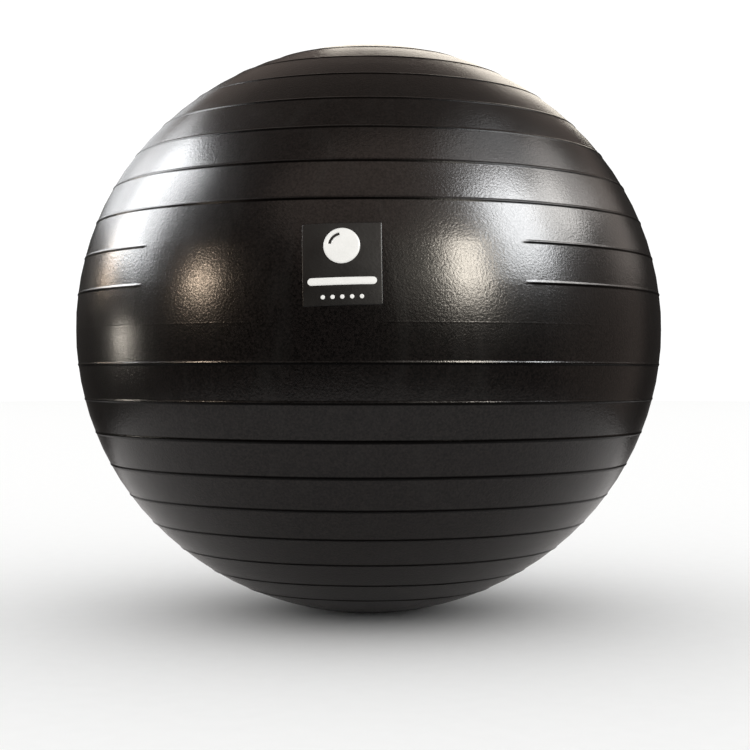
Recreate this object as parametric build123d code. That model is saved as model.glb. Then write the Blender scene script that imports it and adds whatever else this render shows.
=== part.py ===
"""Ribbed exercise ball, 65 cm, standing on the floor. Units are millimetres and degrees.

+Z is up, the floor is z = 0, the origin is on the floor under the ball's centre, and the smooth
panel with the label faces -Y. The valve is in the matching smooth panel at the back.
"""
from build123d import *
import os
from math import asin, atan2, copysign, cos, degrees, radians, sin, sqrt

# The inflated skin: a round body lower than it is wide, flattened where it stands. Its outline is
# drawn with tangent arcs that meet where the normal slopes at JOIN_ANGLE above or below the horizon
DIAMETER = 650.0
SQUASH = 0.972
JOIN_ANGLE = 45.0
CONTACT_RADIUS = 34.0
WALL = 1.0

# Moulded ribs: nine rings above the parting line of the mould and nine below it. A latitude is the
# slope of the skin's normal above the horizon. The parting line is just below the widest place,
# and the spacing of the ribs grows a little towards each pole
PARTING_LATITUDE = -0.3
RIBS_PER_HALF = 9
RIB_PITCH_ABOVE = 7.1
RIB_GROWTH_ABOVE = 0.09
RIB_PITCH_BELOW = 6.95
RIB_GROWTH_BELOW = 0.03
RIB_WIDTH = 3.6
RIB_HEIGHT = 0.8
RIB_CREST_RADIUS = 0.8
RIB_ROOT = 0.5
SHORT_RIBS = 2

# Smooth panels, front and back, where the lowest ribs above the parting line stop
PANEL_HALF_ANGLE = 35.2
RIB_FADE = 10.0

# The fine bead where the two halves of the mould meet
PARTING_WIDTH = 1.2
PARTING_HEIGHT = 0.2

# Printed label on the front panel: a dark patch, and a white emblem on it
LABEL_AZIMUTH = 3.7
LABEL_LATITUDE = 9.7
LABEL_TILT = 1.5
LABEL_WIDTH = 74.0
LABEL_HEIGHT = 78.0
LABEL_CORNER = 1.0
LABEL_THICKNESS = 0.2
PRINT_THICKNESS = 0.2

DISC_RADIUS = 17.0
DISC_RISE = 17.0
GLEAM_RADIUS = 11.5
GLEAM_STROKE = 2.6
GLEAM_START = 100.0
GLEAM_END = 170.0
BAR_LENGTH = 64.0
BAR_WIDTH = 7.0
BAR_DROP = 16.5
DOT_COUNT = 5
DOT_RADIUS = 2.0
DOT_PITCH = 9.0
DOT_DROP = 31.0

# Valve: a thick seat bonded into the skin, and the plug that pushes into it
VALVE_LATITUDE = 10.8
SEAT_RIM_RADIUS = 15.0
SEAT_RIM_RISE = 0.8
SEAT_FLANGE_RADIUS = 20.0
SEAT_FLANGE_TOP = -1.65
SEAT_FLANGE_THICKNESS = 1.2
SEAT_NECK_RADIUS = 9.0
SEAT_LENGTH = 16.0
EDGE_ROUND = 0.6
BORE_RADIUS = 4.5
PLUG_CLEARANCE = 0.05
HEAD_RADIUS = 10.0
HEAD_THICKNESS = 1.6
HEAD_CLEARANCE = 0.25
STEM_LENGTH = 20.0
STEM_TIP_RADIUS = 3.0
STEM_TIP_LENGTH = 5.0
STEM_GROOVES = 3
GROOVE_DEPTH = 0.5
GROOVE_WIDTH = 1.2
GROOVE_PITCH = 3.2
LIFT_NOTCH_WIDTH = 6.0
LIFT_NOTCH_DEPTH = 0.8

# Placement of a round body that hangs down from its top face
HANGING = (Align.CENTER, Align.CENTER, Align.MAX)

# Arcs of the outline: one for the side, centred off the axis, and one for each pole, centred on it
EQUATOR_RADIUS = DIAMETER / 2
POLE_RADIUS = SQUASH * EQUATOR_RADIUS
ARC_DIFFERENCE = (EQUATOR_RADIUS - POLE_RADIUS) / (cos(radians(JOIN_ANGLE)) + sin(radians(JOIN_ANGLE)) - 1)
SIDE_SHIFT = ARC_DIFFERENCE * cos(radians(JOIN_ANGLE))
POLE_SHIFT = ARC_DIFFERENCE * sin(radians(JOIN_ANGLE))
SIDE_ARC = EQUATOR_RADIUS - SIDE_SHIFT
POLE_ARC = POLE_RADIUS + POLE_SHIFT
CENTRE_HEIGHT = sqrt(POLE_ARC**2 - CONTACT_RADIUS**2) - POLE_SHIFT


def skin_point(latitude, offset=0.0):
    """Distance from the axis and height of a point of the skin, or of a layer parallel to it."""
    slope = radians(latitude)
    if abs(latitude) <= JOIN_ANGLE:
        reach = SIDE_ARC + offset
        return SIDE_SHIFT + reach * cos(slope), CENTRE_HEIGHT + reach * sin(slope)
    reach = POLE_ARC + offset
    return reach * cos(slope), CENTRE_HEIGHT + reach * sin(slope) - copysign(POLE_SHIFT, latitude)


def skin_plane(azimuth, latitude, tilt=0.0):
    """Plane that touches the skin, with its normal outward; azimuth 0 is the front, -Y."""
    radius, height = skin_point(latitude)
    turn = radians(azimuth)
    slope = radians(latitude)
    outward = Vector(sin(turn), -cos(turn), 0)
    normal = outward * cos(slope) + Vector(0, 0, sin(slope))
    sideways = Vector(cos(turn), sin(turn), 0)
    plane = Plane(origin=outward * radius + Vector(0, 0, height), x_dir=sideways, z_dir=normal)
    return plane * Rot(0, 0, tilt)


def revolved(section):
    """Full turn about the vertical axis of a section drawn as (radius, height)."""
    return revolve(Plane.XZ * section, Axis.Z)


def body_section(offset, floor):
    """Half section of the whole ball, grown by offset and cut off flat at the given height."""
    cut = asin((CENTRE_HEIGHT + POLE_SHIFT - floor) / (POLE_ARC + offset))
    stops = (-degrees(cut), -JOIN_ANGLE, JOIN_ANGLE, 90)
    arcs = [
        ThreePointArc(*[skin_point(angle, offset) for angle in (low, (low + high) / 2, high)])
        for low, high in zip(stops, stops[1:])
    ]
    return make_face(arcs + [Polyline(arcs[-1] @ 1, (0, floor), arcs[0] @ 0)])


def skin_layer(inner, outer):
    """Thin layer parallel to the skin, between two offsets from its outer face."""
    return revolved(body_section(outer, 0) - body_section(inner, 0))


def ridge(latitude, width, height, crest_radius, root):
    """Section of a ridge on the skin: a rounded triangle, measured above the skin."""
    apex = height + crest_radius * (1 / sin(atan2(width / 2, height)) - 1)
    reach = width / 2 * (apex + root) / apex
    triangle = make_face(Polyline((-reach, -root), (reach, -root), (0, apex), close=True))
    rounded = fillet(triangle.vertices().sort_by(Axis.Y)[-1], crest_radius)
    return Pos(*skin_point(latitude)) * Rot(0, 0, latitude - 90) * rounded


def rib(latitude):
    return ridge(latitude, RIB_WIDTH, RIB_HEIGHT, RIB_CREST_RADIUS, RIB_ROOT)


def rib_steps(pitch, growth):
    """Distances of the ribs from the parting line, in degrees of latitude."""
    return [pitch * n + growth * n * n for n in range(1, RIBS_PER_HALF + 1)]


def short_rib(latitude):
    """Rib that sinks into the skin at the edges of the two smooth panels.

    Each panel is cleared by an upright cylinder that passes under the skin there and crosses the
    rib's circle at a shallow angle, so that the rib runs out over RIB_FADE.
    """
    radius, level = skin_point(latitude)
    crossing = atan2(RIB_HEIGHT, RIB_FADE)
    half_angle = radians(PANEL_HALF_ANGLE)
    setback = radius * sin(crossing) / sin(half_angle - crossing)
    reach = radius * sin(half_angle) / sin(half_angle - crossing)
    keep = Pos(0, 0, level) * Cylinder(reach, 10 * RIB_WIDTH)
    return revolved(rib(latitude)) & Pos(0, setback) * keep & Pos(0, -setback) * keep


def make_ball_shell():
    """Hollow moulded skin with its ribs, its parting bead and the hole for the valve seat."""
    above = [PARTING_LATITUDE + step for step in rib_steps(RIB_PITCH_ABOVE, RIB_GROWTH_ABOVE)]
    below = [PARTING_LATITUDE - step for step in rib_steps(RIB_PITCH_BELOW, RIB_GROWTH_BELOW)]
    section = body_section(0, 0) - body_section(-WALL, WALL)
    section += [rib(latitude) for latitude in above[SHORT_RIBS:] + below]
    section += ridge(PARTING_LATITUDE, PARTING_WIDTH, PARTING_HEIGHT, PARTING_HEIGHT, PARTING_HEIGHT)
    shell = revolved(section)
    shell += [short_rib(latitude) for latitude in above[:SHORT_RIBS]]
    return shell - valve_plane() * Cylinder(SEAT_RIM_RADIUS, SEAT_LENGTH)


def label_plane():
    return skin_plane(LABEL_AZIMUTH, LABEL_LATITUDE, LABEL_TILT)


def on_label(sketch, inner, outer):
    """The part of a skin layer that a sketch on the label's plane covers."""
    prism = extrude(label_plane() * sketch, LABEL_WIDTH / 2, both=True)
    return prism & skin_layer(inner, outer)


def make_label_patch():
    """Dark square film bonded to the front panel."""
    square = RectangleRounded(LABEL_WIDTH, LABEL_HEIGHT, LABEL_CORNER)
    return on_label(square, 0, LABEL_THICKNESS)


def ball_pictogram():
    """A disc with a curved gleam cut out of it: a plain picture of a shiny ball."""
    rim = GLEAM_RADIUS + GLEAM_STROKE / 2
    middle = radians((GLEAM_START + GLEAM_END) / 2)
    reach = 2 * DISC_RADIUS
    corners = [(0, 0)]
    for angle in (radians(GLEAM_START), middle, radians(GLEAM_END)):
        corners.append((reach * cos(angle), reach * sin(angle)))
    wedge = make_face(Polyline(*corners, close=True))
    gleam = (Circle(rim) - Circle(rim - GLEAM_STROKE)) & wedge
    return Pos(0, DISC_RISE) * (Circle(DISC_RADIUS) - gleam)


def make_label_emblem():
    """White print: the ball pictogram standing over a long bar, and a row of dots."""
    bar = Pos(0, -BAR_DROP) * SlotOverall(BAR_LENGTH, BAR_WIDTH)
    row = Sketch() + GridLocations(DOT_PITCH, 0, DOT_COUNT, 1) * Circle(DOT_RADIUS)
    dots = Pos(0, -DOT_DROP) * row
    print_top = LABEL_THICKNESS + PRINT_THICKNESS
    artwork = ball_pictogram() + bar + dots
    return on_label(artwork, LABEL_THICKNESS, print_top)


def valve_plane():
    """Plane on the skin at the middle of the back panel, normal along the valve's axis."""
    return skin_plane(180, VALVE_LATITUDE)


def seat_pocket():
    """Shallow recess in the seat that the plug's head fills."""
    depth = HEAD_THICKNESS + PLUG_CLEARANCE
    return Pos(0, 0, SEAT_RIM_RISE) * Cylinder(HEAD_RADIUS + HEAD_CLEARANCE, 2 * depth)


def make_valve_seat():
    """Round rim that fills the hole in the skin, with a flange bonded under the skin around it
    and a long neck inward that grips the plug's stem."""
    flange_bottom = SEAT_FLANGE_TOP - SEAT_FLANGE_THICKNESS
    rim = Cylinder(SEAT_RIM_RADIUS, SEAT_RIM_RISE - flange_bottom, align=HANGING)
    rim = fillet(rim.edges().filter_by(GeomType.CIRCLE).sort_by(Axis.Z)[-1], EDGE_ROUND)
    neck = Cylinder(SEAT_NECK_RADIUS, SEAT_LENGTH, align=HANGING)
    flange = Cylinder(SEAT_FLANGE_RADIUS, SEAT_FLANGE_THICKNESS, align=HANGING)
    seat = Pos(0, 0, SEAT_RIM_RISE) * (rim + neck) + Pos(0, 0, SEAT_FLANGE_TOP) * flange
    seat -= seat_pocket()
    return valve_plane() * (seat - Cylinder(BORE_RADIUS, 4 * SEAT_LENGTH))


def make_valve_plug():
    """Push-in plug: a flat head with a notch to lift it, and a grooved stem with a blunt tip."""
    head = Cylinder(HEAD_RADIUS, HEAD_THICKNESS, align=HANGING)
    head = fillet(head.edges().filter_by(GeomType.CIRCLE).sort_by(Axis.Z)[-1], EDGE_ROUND)
    head -= Pos(0, HEAD_RADIUS) * Box(LIFT_NOTCH_WIDTH, 2 * LIFT_NOTCH_DEPTH, 2 * LIFT_NOTCH_DEPTH)
    stem_radius = BORE_RADIUS - PLUG_CLEARANCE
    straight = STEM_LENGTH - STEM_TIP_LENGTH
    stem = Cylinder(stem_radius, straight, align=HANGING)
    stem += Pos(0, 0, -straight) * Cone(STEM_TIP_RADIUS, stem_radius, STEM_TIP_LENGTH, align=HANGING)
    ring = Cylinder(2 * stem_radius, GROOVE_WIDTH) - Cylinder(stem_radius - GROOVE_DEPTH, GROOVE_WIDTH)
    stem -= [Pos(0, 0, -(n + 1) * GROOVE_PITCH) * ring for n in range(STEM_GROOVES)]
    plug = head + Pos(0, 0, -HEAD_THICKNESS) * stem
    return valve_plane() * Pos(0, 0, SEAT_RIM_RISE) * plug


PARTS = {
    "ball_shell": make_ball_shell,
    "label_patch": make_label_patch,
    "label_emblem": make_label_emblem,
    "valve_seat": make_valve_seat,
    "valve_plug": make_valve_plug,
}

os.makedirs("parts", exist_ok=True)
for node, make in PARTS.items():
    export_step(make(), f"parts/{node}.step")
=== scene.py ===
"""Looks of the ribbed exercise ball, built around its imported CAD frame.

Metres, +Z up, the ball stands on z = 0 and its label faces -Y. An azimuth is counted from -Y
towards +X, and a latitude is the slope of the skin's normal above the horizon, both in degrees.
"""
import math

import bmesh
import bpy
from mathutils import Matrix, Vector, noise


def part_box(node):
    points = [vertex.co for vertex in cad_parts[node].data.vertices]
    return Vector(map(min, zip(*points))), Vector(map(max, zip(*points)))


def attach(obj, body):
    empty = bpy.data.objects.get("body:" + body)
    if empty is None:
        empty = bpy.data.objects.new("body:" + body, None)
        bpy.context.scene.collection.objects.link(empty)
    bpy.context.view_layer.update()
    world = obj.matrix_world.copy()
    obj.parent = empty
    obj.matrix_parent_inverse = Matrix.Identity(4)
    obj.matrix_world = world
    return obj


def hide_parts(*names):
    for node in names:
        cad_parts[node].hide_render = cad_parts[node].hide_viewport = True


MM = 0.001

# The skin, as the CAD model has it
SQUASH = 0.972
JOIN_ANGLE = 45.0
CONTACT_RADIUS = 34 * MM
WALL = 1.0 * MM
PARTING_LATITUDE = -0.3
RIBS_PER_HALF = 9
RIB_PITCH_ABOVE = 7.1
RIB_GROWTH_ABOVE = 0.09
RIB_PITCH_BELOW = 6.95
RIB_GROWTH_BELOW = 0.03
RIB_HEIGHT = 0.8 * MM
SHORT_RIBS = 2
PANEL_HALF_ANGLE = 35.2
RIB_FADE = 10 * MM
PARTING_HEIGHT = 0.2 * MM
VALVE_LATITUDE = 10.8

# The round hole for the valve seat: the skin's mesh is cleared a margin further out, its long open
# edges are cut up, and rings of faces lead in to the edge of the hole
HOLE_RADIUS = 14.8 * MM
HOLE_MARGIN = 4 * MM
HOLE_RINGS = 5
LONG_EDGE_CUTS = 4

# The mesh of the skin: columns round it, and rows across a rib or the parting line as (mm from its
# crest, mm of height)
COLUMNS = 300
HALF_RIB = ((2.7, 0.0), (2.1, 0.02), (1.6, 0.12), (1.05, 0.42), (0.45, 0.64), (0.0, 0.69))
HALF_PARTING = ((1.6, 0.0), (1.2, 0.0), (0.4, 0.06), (0.0, 0.08))
ROWS_BETWEEN = 1
CAP_ROWS = 9
INNER_COLUMNS = 72
INNER_ROWS = 36

# The closer columns where short ribs run out: how many at each end, how many times RIB_FADE they
# cover, and the degrees kept free of other columns beside them
END_COLUMNS = 11
END_REACH = 1.2
END_CLEARANCE = 0.3

# A rib's lower flank is matte and carries painted shade (a darker colour and gloss) up to so many mm
# past its crest. Low on the ball the whole rib is.
MATTE_SHADE_REACH = 0.8
LOW_MATTE_SHADE_REACH = 2.2
LOW_RIBS_BELOW = -18.0

# How far the soft skin strays from its drawn shape: a bulge between ribs, a long wave with a
# ripple on it, and ribs that come out fuller or flatter
BULGE = 0.25 * MM
WAVE_HEIGHT = 0.25 * MM
WAVE_LENGTH = 110 * MM
RIPPLE_SHARE = 0.5
RIPPLES_PER_WAVE = 2.3
RIB_FULLNESS = 0.9
RIB_UNEVENNESS = 0.3
RIB_WAVE_LENGTH = 0.3 * WAVE_LENGTH

# The label: a film with a generic print of a ball with a gleam, a bar and a row of dots
LABEL_AZIMUTH = 3.7
LABEL_LATITUDE = 9.7
LABEL_TILT = 1.5
LABEL_WIDTH = 74 * MM
LABEL_HEIGHT = 78 * MM
LABEL_CORNER = 1 * MM
LABEL_THICKNESS = 0.2 * MM
PRINT_THICKNESS = 0.2 * MM
LABEL_STEPS = 26
SUNK = 0.05 * MM
DRAPE_ROUNDS = 4
DISC_RADIUS = 17 * MM
DISC_RISE = 17 * MM
DISC_SECTORS = 72
GLEAM_RADIUS = 11.5 * MM
GLEAM_STROKE = 2.6 * MM
GLEAM_START = 100
GLEAM_END = 170
BAR_LENGTH = 64 * MM
BAR_WIDTH = 7 * MM
BAR_DROP = 16.5 * MM
BAR_STEPS = 12
BAR_END_ANGLES = (15, 35, 55, 70, 80, 88)
BAR_STRIPS = (-1, -0.5, 0, 0.5, 1)
DOT_COUNT = 5
DOT_RADIUS = 2.0 * MM
DOT_PITCH = 9 * MM
DOT_DROP = 31 * MM
DOT_SECTORS = 24

# The skin's leather grain, which shows through the label too
PEBBLE_SIZE = 3 * MM
PEBBLE_ROUNDNESS = 0.6

# The share of a speck's radius within which it is full
SPECK_CORE = 0.6

# The camera stands a little to the right of the panel's middle and looks level from below the
# ball's middle; distances are in radii of the ball
CAMERA_AZIMUTH = 7.9
CAMERA_DISTANCE = 5.218
CAMERA_ASIDE = 0.0215
CAMERA_DROP = 0.1553
CAMERA_LENS = 71.9
SENSOR_WIDTH = 36

# The floor: a disc, and a ring round it that the gloss does not show
NEAR_FLOOR = 0.85
FAR_FLOOR = 14.0
FLOOR_SECTORS = 96
MERGE_DISTANCE = 1e-6
PAPER_IN_GLOSS = (0.58, 0.56, 0.55)

# The world: white to the eye and for soft light. In the gloss it is a dark room with a pale far
# side, given by the latitude of its middle and the cosines from there of its edge and its core.
WHITE_ROOM = (1.10, 1.10, 1.10)
DARK_ROOM = (0.030, 0.027, 0.025)
FAR_SIDE = (0.50, 0.48, 0.47)
FAR_SIDE_LATITUDE = -25
FAR_SIDE_EDGE = 0.85
FAR_SIDE_CORE = 1.00

# The softboxes as (name, azimuth from the camera's side, elevation, width and height in degrees
# as the ball sees them, radiance, colour)
LAMP_DISTANCE = 2.4
COOL = (0.96, 0.98, 1.0)
PALE = (0.97, 0.95, 0.92)
CREAM = (1.0, 0.95, 0.91)
WARM = (1.0, 0.92, 0.80)
PEACH = (1.0, 0.90, 0.83)
AMBER = (1.0, 0.78, 0.58)
BROWN = (1.0, 0.80, 0.70)
SOFTBOXES = (
    ("window_left", -104.5, 31, 26, 31, 13.5, COOL),
    ("window_left_mid", -128, 30, 21, 25, 2.9, COOL),
    ("window_left_far", -150, 22, 23, 15, 1.0, COOL),
    ("window_right", 61, 33, 20, 30, 27, COOL),
    ("window_far_right", 83, 34, 20, 17, 13.0, PALE),
    ("wall_by_window", 102, 38, 20, 22, 2.7, CREAM),
    ("wall_lit_right", 116, 22, 24, 22, 0.6, PEACH),
    ("window_high_right", 76, 57, 34, 16, 1.6, COOL),
    ("lamp_right", 36, 20, 11, 20, 40, WARM),
    ("lamp_right_glow", 25, 20, 28, 26, 1.0, WARM),
    ("lamp_left", -62, 14, 2.8, 8, 112, AMBER),
    ("lamp_low_left", -100, -2, 3, 7, 32, WARM),
    ("lamp_far_left", -115, 15, 3, 11, 18, AMBER),
    ("lamp_behind", 170, 31, 26, 22, 1.7, WARM),
    ("wall_right", 96, 2, 54, 40, 0.18, BROWN),
    ("wall_behind", 180, 42, 110, 24, 0.17, BROWN),
    ("ceiling", 0, 85, 90, 90, 0.12, BROWN),
    ("ceiling_glow", 20, 52, 84, 42, 0.55, BROWN),
)

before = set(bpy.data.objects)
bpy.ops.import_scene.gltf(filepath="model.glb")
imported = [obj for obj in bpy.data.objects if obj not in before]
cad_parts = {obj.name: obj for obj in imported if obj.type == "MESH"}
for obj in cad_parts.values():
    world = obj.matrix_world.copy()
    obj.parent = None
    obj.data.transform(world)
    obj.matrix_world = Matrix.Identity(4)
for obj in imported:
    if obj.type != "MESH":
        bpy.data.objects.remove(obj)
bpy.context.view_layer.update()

# The skin's profile, two arcs that meet at the join angle, worked out from the CAD shell's box
shell_low, shell_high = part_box("ball_shell")
EQUATOR_RADIUS = (shell_high.x - shell_low.x) / 2 - PARTING_HEIGHT
POLE_RADIUS = SQUASH * EQUATOR_RADIUS
JOIN = math.radians(JOIN_ANGLE)
ARC_DIFFERENCE = (EQUATOR_RADIUS - POLE_RADIUS) / (math.cos(JOIN) + math.sin(JOIN) - 1)
SIDE_SHIFT = ARC_DIFFERENCE * math.cos(JOIN)
POLE_SHIFT = ARC_DIFFERENCE * math.sin(JOIN)
SIDE_ARC = EQUATOR_RADIUS - SIDE_SHIFT
POLE_ARC = POLE_RADIUS + POLE_SHIFT
CENTRE_HEIGHT = shell_high.z - POLE_RADIUS
CONTACT_LATITUDE = -math.degrees(math.acos(CONTACT_RADIUS / POLE_ARC))
CENTRE = Vector((0, 0, CENTRE_HEIGHT))


# ---------------------------------------------------------------- shape of the skin

def smooth(t):
    """0 below 0, 1 above 1, and a smooth step between."""
    t = min(max(t, 0.0), 1.0)
    return t * t * (3 - 2 * t)


def arc_radius(latitude):
    return SIDE_ARC if abs(latitude) <= JOIN_ANGLE else POLE_ARC


def outward(azimuth, latitude):
    """Unit normal of the skin."""
    turn, slope = math.radians(azimuth), math.radians(latitude)
    level = math.cos(slope)
    return Vector((math.sin(turn) * level, -math.cos(turn) * level, math.sin(slope)))


def skin_point(azimuth, latitude, offset=0.0):
    """Point of the skin, or of a layer parallel to it."""
    turn, slope = math.radians(azimuth), math.radians(latitude)
    on_side = abs(latitude) <= JOIN_ANGLE
    shift = SIDE_SHIFT if on_side else 0.0
    drop = 0.0 if on_side else math.copysign(POLE_SHIFT, latitude)
    reach = arc_radius(latitude) + offset
    radius = shift + reach * math.cos(slope)
    height = CENTRE_HEIGHT + reach * math.sin(slope) - drop
    return Vector((math.sin(turn) * radius, -math.cos(turn) * radius, height))


def side_place(point):
    """Azimuth, latitude and distance outward of a point near the side of the skin."""
    across = math.hypot(point.x, point.y) - SIDE_SHIFT
    up = point.z - CENTRE_HEIGHT
    azimuth = math.degrees(math.atan2(point.x, -point.y))
    return azimuth, math.degrees(math.atan2(up, across)), math.hypot(across, up) - SIDE_ARC


def rib_latitudes():
    """Latitudes of the ribs below and above the parting line, and of the short ones among them."""
    steps = range(1, RIBS_PER_HALF + 1)
    above = [PARTING_LATITUDE + RIB_PITCH_ABOVE * n + RIB_GROWTH_ABOVE * n * n for n in steps]
    below = [PARTING_LATITUDE - RIB_PITCH_BELOW * n - RIB_GROWTH_BELOW * n * n for n in steps]
    return below[::-1], above, above[:SHORT_RIBS]


def outside_panel(azimuth):
    """1 where the short ribs stand, 0 on the two smooth panels, and a ramp at their ends."""
    from_panel = abs((azimuth + 90) % 180 - 90) - PANEL_HALF_ANGLE
    return min(max(math.radians(from_panel) * EQUATOR_RADIUS / RIB_FADE, 0.0), 1.0)


def crest_rows(stop, fades):
    """Rows across the rib, or the parting line, whose crest is at the given latitude."""
    is_parting = stop == PARTING_LATITUDE
    half = HALF_PARTING if is_parting else HALF_RIB
    across = [(-d, h) for d, h in half] + list(half[-2::-1])
    foot = HALF_RIB[0][0]
    reach = LOW_MATTE_SHADE_REACH if stop < LOW_RIBS_BELOW else MATTE_SHADE_REACH
    turn = math.degrees(MM / arc_radius(stop))
    rows = []
    for d, h in across:
        # Share of the rib's foot that is matte with painted shade, a darker colour and gloss
        matte_shade = 0.0 if is_parting else smooth(reach - d) * smooth(foot + d)
        rows.append((stop + d * turn, h * MM, 0.0, fades, matte_shade))
    return rows


def rows_between(stop, gap, fades):
    """Rows of the bulge between the crest at a latitude and the next one, a gap higher."""
    rows = []
    for k in range(1, ROWS_BETWEEN + 1):
        share = k / (ROWS_BETWEEN + 1)
        rows.append((stop + gap * share, 0.0, math.sin(math.pi * share) ** 2, fades, 0.0))
    return rows


def cap_row(start, end, step):
    """Plain row so many steps of the way from one latitude to another."""
    return start + (end - start) * step / CAP_ROWS, 0.0, 0.0, False, 0.0


def skin_rows():
    """Rows from the floor up: (latitude, rib height, bulge, whether it fades on the panels, share of
    matte painted shade).
    """
    below, above, short = rib_latitudes()
    stops = below + [PARTING_LATITUDE] + above
    rows = [cap_row(CONTACT_LATITUDE, stops[0], n) for n in range(CAP_ROWS)]
    for stop, following in zip(stops, stops[1:]):
        rows += crest_rows(stop, stop in short)
        rows += rows_between(stop, following - stop, stop in short or following in short)
    rows += crest_rows(stops[-1], stops[-1] in short)
    rows += [cap_row(stops[-1], 90, n) for n in range(1, CAP_ROWS)]
    return rows


def skin_columns():
    """Azimuths of the columns, closer together where the short ribs run out."""
    azimuths = [360 * n / COLUMNS for n in range(COLUMNS)]
    fade = math.degrees(RIB_FADE / EQUATOR_RADIUS)
    for edge, side in ((PANEL_HALF_ANGLE, 1), (180 - PANEL_HALF_ANGLE, -1)):
        steps = [side * fade * END_REACH * n / END_COLUMNS for n in range(END_COLUMNS)]
        for mirror in (1, -1):
            ramp = [mirror * (edge + step) % 360 for step in steps]
            low, high = min(ramp) - END_CLEARANCE, max(ramp) + END_CLEARANCE
            azimuths = [a for a in azimuths if not low < a < high] + ramp
    return sorted(azimuths)


def stray(point):
    """How far the soft skin stands off its drawn shape at a point."""
    wave = noise.noise(point / WAVE_LENGTH)
    wave += RIPPLE_SHARE * noise.noise(point * RIPPLES_PER_WAVE / WAVE_LENGTH)
    return WAVE_HEIGHT * wave * smooth(point.z / CONTACT_RADIUS)


def unevenness(point):
    """Factor on a rib's height at a point."""
    return RIB_FULLNESS + RIB_UNEVENNESS * noise.noise(point / RIB_WAVE_LENGTH)


def beside_skin(point, offset, strays=True):
    """The point over or under the skin's side next to the given one, straying as the skin does."""
    azimuth, latitude, _ = side_place(point)
    base = skin_point(azimuth, latitude)
    rise = stray(base) if strays else 0.0
    return base + outward(azimuth, latitude) * (rise + offset)


def grid_faces(rows, columns, first=0):
    """Quads of a grid that closes round itself."""
    faces = []
    for i in range(rows - 1):
        for j in range(columns):
            k = (j + 1) % columns
            low, high = first + i * columns, first + (i + 1) * columns
            faces.append((low + j, low + k, high + k, high + j))
    return faces


def close_ends(points, faces, first, rows, columns, foot_point, top_point):
    """Adds a point and a fan of triangles at each end of a grid that starts at index first."""
    foot, top = first + len(points), first + len(points) + 1
    points += [foot_point, top_point]
    last = first + (rows - 1) * columns
    for j in range(columns):
        k = (j + 1) % columns
        faces.append((foot, first + k, first + j))
        faces.append((top, last + j, last + k))


def outer_skin():
    """Points and faces of the skin's outer face, and each point's share of a rib and of its foot's
    matte painted shade.
    """
    rows, columns = skin_rows(), skin_columns()
    points, crests, foot_shades = [], [], []
    for latitude, rib, bulge, fades, matte_shade in rows:
        for azimuth in columns:
            base = skin_point(azimuth, latitude)
            keep = outside_panel(azimuth) if fades else 1.0
            rise = rib * keep * unevenness(base) + BULGE * bulge * keep + stray(base)
            points.append(base + outward(azimuth, latitude) * rise)
            crests.append(rib * keep / RIB_HEIGHT)
            foot_shades.append(matte_shade * keep)
    faces = grid_faces(len(rows), len(columns))
    top = Vector((0, 0, shell_high.z))
    ends = Vector((0, 0, 0)), top + Vector((0, 0, stray(top)))
    close_ends(points, faces, 0, len(rows), len(columns), *ends)
    return points, faces, crests, foot_shades


def inner_skin(first):
    """Points and faces of the skin's plain inner face, one wall inward."""
    low = CONTACT_LATITUDE
    latitudes = [low + (90 - low) * n / INNER_ROWS for n in range(INNER_ROWS)]
    azimuths = [360 * n / INNER_COLUMNS for n in range(INNER_COLUMNS)]
    points = [skin_point(azimuth, latitude, -WALL) for latitude in latitudes for azimuth in azimuths]
    faces = grid_faces(INNER_ROWS, INNER_COLUMNS, first)
    ends = Vector((0, 0, WALL)), Vector((0, 0, shell_high.z - WALL))
    close_ends(points, faces, first, INNER_ROWS, INNER_COLUMNS, *ends)
    return points, [face[::-1] for face in faces]


def touching_frame(azimuth, latitude, tilt=0.0):
    """Matrix of the plane that touches the skin there: X sideways, Y up the skin, Z outward."""
    turn = math.radians(azimuth)
    normal = outward(azimuth, latitude)
    sideways = Vector((math.cos(turn), math.sin(turn), 0))
    axes = Matrix((sideways, normal.cross(sideways), normal)).transposed().to_4x4()
    spin = Matrix.Rotation(math.radians(tilt), 4, "Z")
    return Matrix.Translation(skin_point(azimuth, latitude)) @ axes @ spin


LABEL = touching_frame(LABEL_AZIMUTH, LABEL_LATITUDE, LABEL_TILT)
VALVE = touching_frame(180, VALVE_LATITUDE)


# ---------------------------------------------------------------- pieces

def new_piece(name, bm, material, body, replaced):
    """Makes a piece from a bmesh, with its material, body, slot and the CAD node it stands for."""
    mesh = bpy.data.meshes.new(name)
    bm.to_mesh(mesh)
    bm.free()
    for polygon in mesh.polygons:
        polygon.use_smooth = True
    mesh.materials.append(material)
    piece = bpy.data.objects.new(name, mesh)
    bpy.context.scene.collection.objects.link(piece)
    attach(piece, body)
    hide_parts(replaced)


def on_wall(point, outside):
    """The point of the skin's outer or inner face next to the given one."""
    return beside_skin(point, 0.0) if outside else beside_skin(point, -WALL, strays=False)


def ring_in(bm, loop, outside):
    """Rings of faces from a rough loop of vertices in to the valve hole; gives the hole's edges."""
    to_valve = VALVE.inverted()
    ring = sorted(loop, key=lambda v: math.atan2((to_valve @ v.co).y, (to_valve @ v.co).x))
    spots = [(to_valve @ v.co).xy for v in ring]
    for step in range(1, HOLE_RINGS + 1):
        share = step / HOLE_RINGS
        flat = [spot.lerp(spot.normalized() * HOLE_RADIUS, share) for spot in spots]
        inner = [bm.verts.new(on_wall(VALVE @ spot.to_3d(), outside)) for spot in flat]
        for n in range(len(ring)):
            m = (n + 1) % len(ring)
            corners = (ring[n], ring[m], inner[m], inner[n])
            bm.faces.new(corners if outside else corners[::-1])
        ring = inner
    return [bm.edges.get((ring[n - 1], ring[n])) for n in range(len(ring))]


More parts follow.
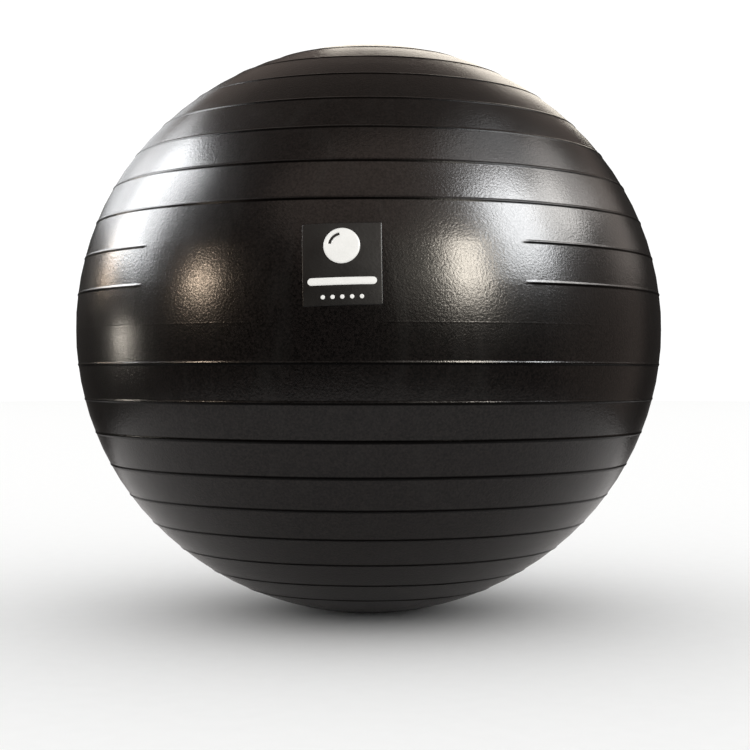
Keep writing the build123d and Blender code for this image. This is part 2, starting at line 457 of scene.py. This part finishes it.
def open_valve_hole(bm):
    """Cuts a round hole for the valve seat through both walls and joins them round its edge."""
    clear = HOLE_RADIUS + HOLE_MARGIN
    inside = [v for v in bm.verts if (v.co - VALVE.translation).length < clear]
    bmesh.ops.delete(bm, geom=inside, context="VERTS")
    long_edges = [e for e in bm.edges if e.is_boundary and e.calc_length() > 2 * HOLE_MARGIN]
    bmesh.ops.subdivide_edges(bm, edges=long_edges, cuts=LONG_EDGE_CUTS)
    outer, inner = [], []
    for vert in {v for e in bm.edges if e.is_boundary for v in e.verts}:
        outside = side_place(vert.co)[2] > -WALL / 2
        vert.co = on_wall(vert.co, outside)
        loop = outer if outside else inner
        loop.append(vert)
    edges = ring_in(bm, outer, True) + ring_in(bm, inner, False)
    for edge in edges:
        edge.smooth = False
    bmesh.ops.bridge_loops(bm, edges=edges)


def make_skin(material):
    points, faces, crests, foot_shades = outer_skin()
    inner_points, inner_faces = inner_skin(len(points))
    bm = bmesh.new()
    crest_layer = bm.verts.layers.float.new("rib_crest")
    # Each point's share of the matte rib foot with painted shade
    foot_shade_layer = bm.verts.layers.float.new("rib_foot_shade")
    verts = [bm.verts.new(p) for p in points + inner_points]
    for vert, crest, foot in zip(verts, crests, foot_shades):
        vert[crest_layer] = crest
        vert[foot_shade_layer] = foot
    for face in faces + inner_faces:
        bm.faces.new([verts[n] for n in face])
    open_valve_hole(bm)
    new_piece("ball_skin", bm, material, "ball", "ball_shell")


def drape(x, y, offset):
    """Point at a height over the skin that lies behind (x, y) on the label's plane."""
    z = 0.0
    for _ in range(DRAPE_ROUNDS):
        z -= side_place(LABEL @ Vector((x, y, z)))[2]
    return beside_skin(LABEL @ Vector((x, y, z)), offset)


def add_film(bm, outline_points, faces, bottom, top):
    """Closed thin film over the skin: faces index flat points on the label's plane."""
    upper = [bm.verts.new(drape(x, y, top)) for x, y in outline_points]
    lower = [bm.verts.new(drape(x, y, bottom)) for x, y in outline_points]
    sides = []
    for face in faces:
        bm.faces.new([upper[n] for n in face])
        bm.faces.new([lower[n] for n in reversed(face)])
        sides += zip(face, face[1:] + face[:1])
    # A side that no other face runs along the other way is on the film's edge
    backward = {(b, a) for a, b in sides}
    for a, b in sides:
        if (a, b) not in backward:
            bm.faces.new((upper[b], upper[a], lower[a], lower[b]))
    for vert in [v for v in upper + lower if not v.link_faces]:
        bm.verts.remove(vert)


def label_stations(side):
    """Places along one side of the label, with one at each end for its cut corner."""
    flat = side / 2 - LABEL_CORNER
    inner = [-flat + 2 * flat * n / LABEL_STEPS for n in range(LABEL_STEPS + 1)]
    return [-side / 2] + inner + [side / 2]


def film_grid():
    """Points and faces of the label's rectangle, with its corners cut back."""
    xs, ys = label_stations(LABEL_WIDTH), label_stations(LABEL_HEIGHT)
    cut = LABEL_CORNER * (1 - math.sqrt(0.5))
    points = []
    for y in ys:
        for x in xs:
            at_corner = x in (xs[0], xs[-1]) and y in (ys[0], ys[-1])
            inset = cut if at_corner else 0.0
            points.append((x - math.copysign(inset, x), y - math.copysign(inset, y)))
    wide = len(xs)
    faces = []
    for i in range(len(ys) - 1):
        for j in range(wide - 1):
            n = i * wide + j
            faces.append((n, n + 1, n + wide + 1, n + wide))
    return points, faces


def round_spot(x, y, radii, sectors, missing=()):
    """Points and faces of a disc of rings and sectors, without the missing (ring, sector) cells."""
    points = [(x, y)]
    for radius in radii:
        for n in range(sectors):
            turn = 2 * math.pi * n / sectors
            points.append((x + radius * math.cos(turn), y + radius * math.sin(turn)))
    faces = []
    for n in range(sectors):
        m = (n + 1) % sectors
        faces.append((0, 1 + n, 1 + m))
        for ring in range(len(radii) - 1):
            inner, outer = 1 + ring * sectors, 1 + (ring + 1) * sectors
            if (ring, n) not in missing:
                faces.append((inner + n, outer + n, outer + m, inner + m))
    return points, faces


def ball_picture():
    """The disc of the emblem with its curved gleam left out."""
    inner, outer = GLEAM_RADIUS - GLEAM_STROKE / 2, GLEAM_RADIUS + GLEAM_STROKE / 2
    radii = [inner / 3, inner * 2 / 3, inner, outer, (outer + DISC_RADIUS) / 2, DISC_RADIUS]
    ring = radii.index(inner)
    step = 360 // DISC_SECTORS
    gleam = {(ring, n) for n in range(GLEAM_START // step, GLEAM_END // step)}
    return round_spot(0, DISC_RISE, radii, DISC_SECTORS, gleam)


def bar_shape():
    """Points and faces of the long bar with round ends."""
    radius = BAR_WIDTH / 2
    flat = BAR_LENGTH / 2 - radius
    ends = [flat + radius * math.sin(math.radians(angle)) for angle in BAR_END_ANGLES]
    middle = [flat * n / BAR_STEPS for n in range(-BAR_STEPS, BAR_STEPS + 1)]
    xs = [-x for x in reversed(ends)] + middle + ends
    points = []
    for x in xs:
        past = max(abs(x) - flat, 0.0)
        tall = math.sqrt(radius ** 2 - past ** 2)
        points += [(x, -BAR_DROP + tall * share) for share in BAR_STRIPS]
    wide = len(BAR_STRIPS)
    faces = []
    for i in range(len(xs) - 1):
        for j in range(wide - 1):
            n = wide * i + j
            faces.append((n, n + wide, n + wide + 1, n + 1))
    return points, faces


def make_label_film(material):
    bm = bmesh.new()
    add_film(bm, *film_grid(), -SUNK, LABEL_THICKNESS)
    new_piece("label_film", bm, material, "ball", "label_patch")


def make_label_print(material):
    bm = bmesh.new()
    layers = (LABEL_THICKNESS - SUNK, LABEL_THICKNESS + PRINT_THICKNESS)
    add_film(bm, *ball_picture(), *layers)
    add_film(bm, *bar_shape(), *layers)
    for n in range(DOT_COUNT):
        x = (n - (DOT_COUNT - 1) / 2) * DOT_PITCH
        add_film(bm, *round_spot(x, -DOT_DROP, (DOT_RADIUS / 2, DOT_RADIUS), DOT_SECTORS), *layers)
    new_piece("label_print", bm, material, "ball", "label_emblem")


# ---------------------------------------------------------------- materials

class Nodes:
    """Short hands for building one material's node tree. Patterns are in metres of the ball."""

    def __init__(self, name):
        self.material = bpy.data.materials.new(name)
        self.material.use_nodes = True
        self.tree = self.material.node_tree
        self.shader = self.tree.nodes["Principled BSDF"]
        self.place = self.tree.nodes.new("ShaderNodeTexCoord").outputs["Object"]

    def link(self, source, target):
        self.tree.links.new(source, target)

    def stretched(self, scale):
        """Places for a noise of size 1 with features of 1 / scale metres along each axis."""
        node = self.tree.nodes.new("ShaderNodeMapping")
        node.inputs["Scale"].default_value = scale
        self.link(self.place, node.inputs["Vector"])
        return node.outputs["Vector"]

    def noise(self, size, detail=2.0, rough=0.5, place=None, distort=0.0):
        """Noise with features of about the given size, 0 to 1."""
        node = self.tree.nodes.new("ShaderNodeTexNoise")
        node.inputs["Scale"].default_value = 1 / size
        node.inputs["Detail"].default_value = detail
        node.inputs["Roughness"].default_value = rough
        node.inputs["Distortion"].default_value = distort
        self.link(place or self.place, node.inputs["Vector"])
        return node.outputs["Fac"]

    def pebbles(self, size):
        """Smooth round cells of the given size: 0 at their middles, rising to their edges."""
        node = self.tree.nodes.new("ShaderNodeTexVoronoi")
        node.feature = "SMOOTH_F1"
        node.inputs["Scale"].default_value = 1 / size
        node.inputs["Smoothness"].default_value = PEBBLE_ROUNDNESS
        self.link(self.place, node.inputs["Vector"])
        return node.outputs["Distance"]

    def specks(self, size, radius):
        """1 in sparse round specks of the given radius, at most one to a cell of the given size."""
        node = self.tree.nodes.new("ShaderNodeTexVoronoi")
        node.inputs["Scale"].default_value = 1 / size
        self.link(self.place, node.inputs["Vector"])
        return self.ramp(node.outputs["Distance"], radius / size, SPECK_CORE * radius / size)

    def ramp(self, value, low, high, to_low=0.0, to_high=1.0):
        """Value carried from one range to another, and held at its ends."""
        node = self.tree.nodes.new("ShaderNodeMapRange")
        node.inputs["From Min"].default_value = low
        node.inputs["From Max"].default_value = high
        node.inputs["To Min"].default_value = to_low
        node.inputs["To Max"].default_value = to_high
        self.link(value, node.inputs["Value"])
        return node.outputs["Result"]

    def math(self, operation, a, b):
        """Sum or product of two values; each is a number or a socket."""
        node = self.tree.nodes.new("ShaderNodeMath")
        node.operation = operation
        for socket, value in zip(node.inputs, (a, b)):
            if isinstance(value, (int, float)):
                socket.default_value = value
            else:
                self.link(value, socket)
        return node.outputs[0]

    def mix(self, share, low, high):
        """Colour between two colours; each is a colour or a socket."""
        node = self.tree.nodes.new("ShaderNodeMix")
        node.data_type = "RGBA"
        self.link(share, node.inputs["Factor"])
        sockets = [s for s in node.inputs if s.type == "RGBA"]
        for socket, value in zip(sockets, (low, high)):
            if isinstance(value, tuple):
                socket.default_value = (*value, 1)
            else:
                self.link(value, socket)
        return [s for s in node.outputs if s.type == "RGBA"][0]

    def cover(self, colour, mask, strength, over):
        """Colour with another laid over it where the mask is 1, as strongly as given."""
        return self.mix(self.math("MULTIPLY", mask, strength), colour, over)

    def attribute(self, name):
        node = self.tree.nodes.new("ShaderNodeAttribute")
        node.attribute_name = name
        return node.outputs["Fac"]

    def bump(self, height, distance, over=None):
        """Normal of a relief as high as the distance, laid over another normal if there is one."""
        node = self.tree.nodes.new("ShaderNodeBump")
        node.inputs["Distance"].default_value = distance
        self.link(height, node.inputs["Height"])
        if over is not None:
            self.link(over, node.inputs["Normal"])
        return node.outputs["Normal"]

    def finish(self, colour, roughness, normal, ior=1.5):
        self.link(colour, self.shader.inputs["Base Color"])
        self.link(roughness, self.shader.inputs["Roughness"])
        self.link(normal, self.shader.inputs["Normal"])
        self.shader.inputs["IOR"].default_value = ior
        return self.material


def gloss_coat(n, weight, roughness, ior, normal):
    """Glossy layer over a material, as strong as its weight."""
    n.link(weight, n.shader.inputs["Coat Weight"])
    n.shader.inputs["Coat Roughness"].default_value = roughness
    n.shader.inputs["Coat IOR"].default_value = ior
    n.link(normal, n.shader.inputs["Coat Normal"])


def ball_pvc():
    """Black soft PVC: glossy, with a leather grain, hand smears, a little dust, worn rib crests.

    The feet of the ribs are matte and carry painted shade: a darker colour, next to nothing of the
    coat and a dark-tinted gloss.
    """
    n = Nodes("ball_pvc")
    crest, foot = n.attribute("rib_crest"), n.attribute("rib_foot_shade")
    cloud = n.noise(160 * MM, detail=3)
    streaks = n.noise(1.0, detail=4, rough=0.6, place=n.stretched((26, 26, 7)), distort=0.8)
    smear = n.ramp(streaks, 0.52, 0.72)
    dust = n.specks(30 * MM, 0.5 * MM)
    worn = n.ramp(n.noise(12 * MM, detail=3), 0.40, 0.75)
    wear = n.math("MULTIPLY", n.ramp(crest, 0.4, 0.8), worn)
    flecks = n.ramp(n.noise(2.4 * MM, detail=3, rough=0.7), 0.38, 0.62)

    tint = n.mix(flecks, (0.0004, 0.0002, 0.0001), (0.0090, 0.0064, 0.0054))
    tint = n.cover(tint, cloud, 0.5, (0.0050, 0.0038, 0.0034))
    tint = n.cover(tint, smear, 0.3, (0.012, 0.011, 0.010))
    tint = n.cover(tint, wear, 0.7, (0.020, 0.019, 0.018))
    tint = n.cover(tint, dust, 0.5, (0.12, 0.115, 0.11))
    # Painted shade: the rib feet's colour is darkened to near black
    tint = n.mix(foot, tint, (0.0008, 0.0006, 0.0005))

    rough = n.math("ADD", n.ramp(cloud, 0.3, 0.7, 0.275, 0.31), n.math("MULTIPLY", smear, 0.06))
    fine = n.bump(n.noise(2 * MM, detail=2.5, rough=0.65), 0.17 * MM)
    grain = n.bump(n.pebbles(PEBBLE_SIZE), 0.05 * MM, over=fine)

    weight = n.math("MULTIPLY", n.ramp(foot, 0, 1, 1.0, 0.1), n.ramp(flecks, 0, 1, 0.76, 1.0))
    gloss_coat(n, weight, 0.18, 1.36, grain)
    # Painted shade: the rib feet's gloss is tinted dark
    n.link(n.mix(foot, (1.0, 1.0, 1.0), (0.12, 0.12, 0.12)), n.shader.inputs["Specular Tint"])
    return n.finish(tint, rough, grain, ior=1.22)


def film_ink():
    """Black printed film of the label: less glossy than the skin round it."""
    n = Nodes("label_film_ink")
    cloud = n.noise(30 * MM, detail=3)
    tint = n.mix(cloud, (0.0030, 0.0027, 0.0024), (0.0055, 0.0050, 0.0045))
    rough = n.ramp(cloud, 0.3, 0.7, 0.42, 0.52)
    fine = n.bump(n.noise(1.3 * MM, detail=1.5), 0.05 * MM)
    grain = n.bump(n.pebbles(PEBBLE_SIZE), 0.07 * MM, over=fine)
    return n.finish(tint, rough, grain, ior=1.40)


def print_ink():
    """Off-white screen print, with the skin's grain showing faintly and tiny pinholes."""
    n = Nodes("white_print_ink")
    cloud = n.noise(12 * MM, detail=3)
    pinholes = n.specks(6 * MM, 0.16 * MM)
    tint = n.mix(cloud, (0.80, 0.79, 0.75), (0.88, 0.87, 0.84))
    tint = n.mix(pinholes, tint, (0.30, 0.29, 0.27))
    rough = n.ramp(cloud, 0.3, 0.7, 0.45, 0.58)
    fine = n.bump(n.noise(0.9 * MM, detail=2), 0.04 * MM)
    return n.finish(tint, rough, n.bump(n.pebbles(PEBBLE_SIZE), 0.06 * MM, over=fine))


def moulded(name, dark, light, low, high):
    """Small moulded part: a fine spark-eroded surface with scuffs. Low and high are its roughness."""
    n = Nodes(name)
    cloud = n.noise(6 * MM, detail=3)
    scuff = n.ramp(n.noise(1.0, detail=3, place=n.stretched((500, 90, 300))), 0.60, 0.75)
    tint = n.cover(n.mix(cloud, dark, light), scuff, 0.5, tuple(3 * c for c in light))
    rough = n.math("ADD", n.ramp(cloud, 0.3, 0.7, low, high), n.math("MULTIPLY", scuff, 0.12))
    fine = n.bump(n.noise(0.5 * MM, detail=2), 0.05 * MM)
    return n.finish(tint, rough, n.bump(n.noise(3 * MM, detail=1), 0.08 * MM, over=fine))


def valve_seat_pvc():
    return moulded("valve_seat_pvc", (0.010, 0.0095, 0.009), (0.018, 0.017, 0.016), 0.36, 0.46)


def valve_plug_pe():
    return moulded("valve_plug_pe", (0.020, 0.0195, 0.019), (0.034, 0.033, 0.032), 0.44, 0.56)


def dress_node(node, material):
    """Gives a CAD node that stays in view its finished material."""
    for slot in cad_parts[node].material_slots:
        slot.material = material


# ---------------------------------------------------------------- stage, light and camera

def make_camera():
    turn = math.radians(CAMERA_AZIMUTH)
    back = Vector((math.sin(turn), -math.cos(turn), 0))
    right = Vector((math.cos(turn), math.sin(turn), 0))
    camera = bpy.data.objects.new("camera", bpy.data.cameras.new("camera"))
    camera.data.lens = CAMERA_LENS
    camera.data.sensor_width = SENSOR_WIDTH
    aside = back * CAMERA_DISTANCE + right * CAMERA_ASIDE - Vector((0, 0, CAMERA_DROP))
    camera.location = CENTRE + aside * EQUATOR_RADIUS
    camera.rotation_euler = (math.pi / 2, 0, turn)
    bpy.context.scene.collection.objects.link(camera)
    bpy.context.scene.camera = camera


def make_softbox(name, azimuth, elevation, wide, high, radiance, colour):
    """Area light that faces the ball and only shows in its gloss."""
    way = outward(azimuth + CAMERA_AZIMUTH, elevation)
    light = bpy.data.lights.new(name, "AREA")
    light.shape = "RECTANGLE"
    light.size = 2 * LAMP_DISTANCE * math.tan(math.radians(wide / 2))
    light.size_y = 2 * LAMP_DISTANCE * math.tan(math.radians(high / 2))
    light.energy = radiance * math.pi * light.size * light.size_y
    light.color = colour
    lamp = bpy.data.objects.new(name, light)
    lamp.location = CENTRE + way * LAMP_DISTANCE
    lamp.rotation_euler = (-way).to_track_quat("-Z", "Y").to_euler()
    lamp.visible_camera = False
    lamp.visible_diffuse = False
    bpy.context.scene.collection.objects.link(lamp)


def make_floor(name, inner, outer, material, in_gloss):
    """Flat ring of floor, or a disc if inner is 0."""
    bm = bmesh.new()
    turns = [2 * math.pi * n / FLOOR_SECTORS for n in range(FLOOR_SECTORS)]
    rings = []
    for radius in (inner, outer):
        rings.append([bm.verts.new((radius * math.cos(a), radius * math.sin(a), 0)) for a in turns])
    for n in range(FLOOR_SECTORS):
        m = (n + 1) % FLOOR_SECTORS
        bm.faces.new((rings[0][n], rings[1][n], rings[1][m], rings[0][m]))
    # The inner ring of a disc becomes one point
    bmesh.ops.remove_doubles(bm, verts=bm.verts, dist=MERGE_DISTANCE)
    mesh = bpy.data.meshes.new(name)
    bm.to_mesh(mesh)
    bm.free()
    mesh.materials.append(material)
    floor = bpy.data.objects.new(name, mesh)
    floor.visible_glossy = in_gloss
    bpy.context.scene.collection.objects.link(floor)


def paper():
    """Pale studio paper, darker where the ball's gloss meets it than to the eye."""
    n = Nodes("studio_paper")
    path = n.tree.nodes.new("ShaderNodeLightPath")
    tooth = n.noise(20 * MM, detail=2)
    tint = n.mix(tooth, (0.90, 0.90, 0.895), (0.93, 0.93, 0.925))
    tint = n.mix(path.outputs["Is Glossy Ray"], tint, PAPER_IN_GLOSS)
    n.shader.inputs["Specular IOR Level"].default_value = 0.0
    return n.finish(tint, n.ramp(tooth, 0, 1, 0.85, 0.95), n.bump(tooth, 0.1 * MM))


def make_world():
    """White room to the eye and for soft light; a dark room with a pale far side in the gloss."""
    world = bpy.data.worlds.new("studio")
    bpy.context.scene.world = world
    world.use_nodes = True
    nodes, links = world.node_tree.nodes, world.node_tree.links
    nodes.remove(nodes["Background"])

    def background(colour):
        node = nodes.new("ShaderNodeBackground")
        node.inputs["Color"].default_value = (*colour, 1)
        return node.outputs[0]

    def mixed(share, low, high):
        node = nodes.new("ShaderNodeMixShader")
        for socket, source in zip(node.inputs, (share, low, high)):
            links.new(source, socket)
        return node.outputs[0]

    toward = nodes.new("ShaderNodeVectorMath")
    toward.operation = "DOT_PRODUCT"
    toward.inputs[1].default_value = outward(180 + CAMERA_AZIMUTH, FAR_SIDE_LATITUDE)
    links.new(nodes.new("ShaderNodeTexCoord").outputs["Generated"], toward.inputs[0])
    far_side = nodes.new("ShaderNodeMapRange")
    far_side.interpolation_type = "SMOOTHSTEP"
    far_side.inputs["From Min"].default_value = FAR_SIDE_EDGE
    far_side.inputs["From Max"].default_value = FAR_SIDE_CORE
    links.new(toward.outputs["Value"], far_side.inputs["Value"])
    room = mixed(far_side.outputs["Result"], background(DARK_ROOM), background(FAR_SIDE))

    path = nodes.new("ShaderNodeLightPath")
    shown = nodes.new("ShaderNodeMath")
    shown.operation = "MAXIMUM"
    links.new(path.outputs["Is Camera Ray"], shown.inputs[0])
    links.new(path.outputs["Is Diffuse Ray"], shown.inputs[1])
    surface = mixed(shown.outputs[0], room, background(WHITE_ROOM))
    links.new(surface, nodes["World Output"].inputs["Surface"])


make_skin(ball_pvc())
make_label_film(film_ink())
make_label_print(print_ink())
dress_node("valve_seat", valve_seat_pvc())
dress_node("valve_plug", valve_plug_pe())

make_camera()
make_world()
studio_paper = paper()
make_floor("floor_near", 0.0, NEAR_FLOOR, studio_paper, True)
make_floor("floor_far", NEAR_FLOOR, FAR_FLOOR, studio_paper, False)
for softbox in SOFTBOXES:
    make_softbox(*softbox)
bpy.context.scene.view_settings.view_transform = "Standard"
